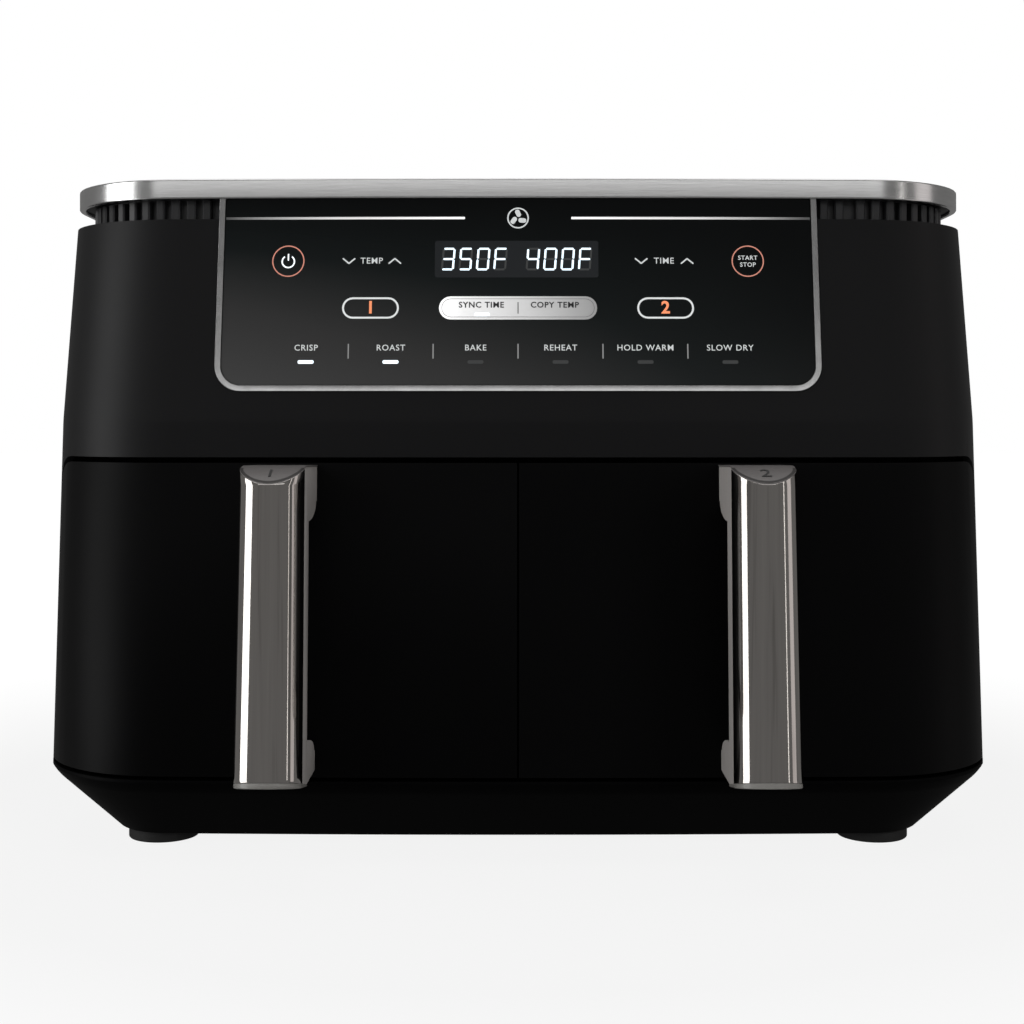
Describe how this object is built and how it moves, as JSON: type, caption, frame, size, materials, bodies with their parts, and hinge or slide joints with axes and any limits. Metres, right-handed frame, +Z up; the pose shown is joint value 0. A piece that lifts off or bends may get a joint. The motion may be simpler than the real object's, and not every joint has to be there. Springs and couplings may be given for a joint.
{
  "type": "air fryer",
  "caption": "Counter-top air fryer with side-by-side drawers, upright bar handles, a leaning touch panel and a steel band round the top.",
  "frame": {"origin": "on the floor, under the middle of the part's outside box", "axes": "+X to the right seen from the front, +Y towards the back, +Z up; the front faces -Y"},
  "size_m": [0.415, 0.3516, 0.2872],
  "materials": {
    "housing_plastic": "fine satin texture",
    "drawer_plastic": "fine satin texture",
    "base_plastic": "satin",
    "grille_plastic": "satin",
    "cover_plastic": "satin",
    "inner_plastic": "plain moulded",
    "handle_plastic": "soft satin, warm grey",
    "cap_plastic": "satin to gloss",
    "handle_chrome": "polished, dark warm tint",
    "band_steel": "bright, lightly brushed",
    "trim_metal": "satin chrome",
    "panel_glass": "high gloss, printed from behind",
    "display": "black display block",
    "circuit_board": "green circuit board",
    "liner_steel": "plain sheet",
    "motor_metal": "cast and turned",
    "heater_metal": "dull, heat stained",
    "sensor_metal": "plain",
    "nonstick": "ceramic non-stick, satin",
    "bumper_silicone": "matte silicone",
    "foot_rubber": "matte rubber",
    "gland_rubber": "matte rubber",
    "screw_zinc": "zinc plated"
  },
  "bodies": {
    "root": {"main_housing": "housing_plastic", "base_tray": "base_plastic", "drawer_frame": "base_plastic", "centre_divider": "liner_steel", "neck_grille": "grille_plastic", "top_band": "band_steel", "top_cover": "cover_plastic", "panel_glass": "panel_glass", "panel_trim": "trim_metal", "panel_carrier": "inner_plastic", "control_board": "circuit_board", "display_module": "display", "power_board": "circuit_board", "rear_cover": "base_plastic", "cable_gland": "gland_rubber", "base_screws": "screw_zinc", "rear_screws": "screw_zinc", "rear_spacers": "base_plastic", "motor_brackets": "liner_steel", "thermal_sensors": "sensor_metal", "drawer_sensors": "inner_plastic", "exhaust_ducts": "liner_steel", "foot_front_left": "foot_rubber", "foot_front_right": "foot_rubber", "foot_rear_left": "foot_rubber", "foot_rear_right": "foot_rubber", "cooking_chamber_left": "liner_steel", "cooking_chamber_right": "liner_steel", "heater_coil_left": "heater_metal", "heater_coil_right": "heater_metal", "fan_guard_left": "liner_steel", "fan_guard_right": "liner_steel", "motor_left": "motor_metal", "motor_right": "motor_metal"},
    "drawer_left": {"drawer_front_left": "drawer_plastic", "drawer_backplate_left": "inner_plastic", "basket_left": "nonstick", "handle_core_left": "handle_plastic", "handle_sleeve_left": "handle_chrome", "handle_cap_left": "cap_plastic", "handle_end_left": "handle_plastic", "drawer_screws_left": "screw_zinc"},
    "plate_left": {"crisper_plate_left": "nonstick", "plate_bumpers_left": "bumper_silicone"},
    "fan_left": {"convection_fan_left": "liner_steel", "cooling_fan_left": "inner_plastic", "fan_shaft_left": "motor_metal"},
    "drawer_right": {"drawer_front_right": "drawer_plastic", "drawer_backplate_right": "inner_plastic", "basket_right": "nonstick", "handle_core_right": "handle_plastic", "handle_sleeve_right": "handle_chrome", "handle_cap_right": "cap_plastic", "handle_end_right": "handle_plastic", "drawer_screws_right": "screw_zinc"},
    "plate_right": {"crisper_plate_right": "nonstick", "plate_bumpers_right": "bumper_silicone"},
    "fan_right": {"convection_fan_right": "liner_steel", "cooling_fan_right": "inner_plastic", "fan_shaft_right": "motor_metal"}
  },
  "joints": [
    {"name": "drawer_slide_left", "type": "slide", "parent": "root", "child": "drawer_left", "axis": [0, -1, 0], "range_m": [0, 0.22]},
    {"name": "plate_lift_left", "type": "slide", "parent": "drawer_left", "child": "plate_left", "axis": [0, 0, 1], "range_m": [0, 0.09]},
    {"name": "fan_spin_left", "type": "hinge", "parent": "root", "child": "fan_left", "pos_m": [-0.103, 0.03, 0.2], "axis": [0, 0, 1], "continuous": true},
    {"name": "drawer_slide_right", "type": "slide", "parent": "root", "child": "drawer_right", "axis": [0, -1, 0], "range_m": [0, 0.22]},
    {"name": "plate_lift_right", "type": "slide", "parent": "drawer_right", "child": "plate_right", "axis": [0, 0, 1], "range_m": [0, 0.09]},
    {"name": "fan_spin_right", "type": "hinge", "parent": "root", "child": "fan_right", "pos_m": [0.103, 0.03, 0.2], "axis": [0, 0, 1], "continuous": true}
  ]
}
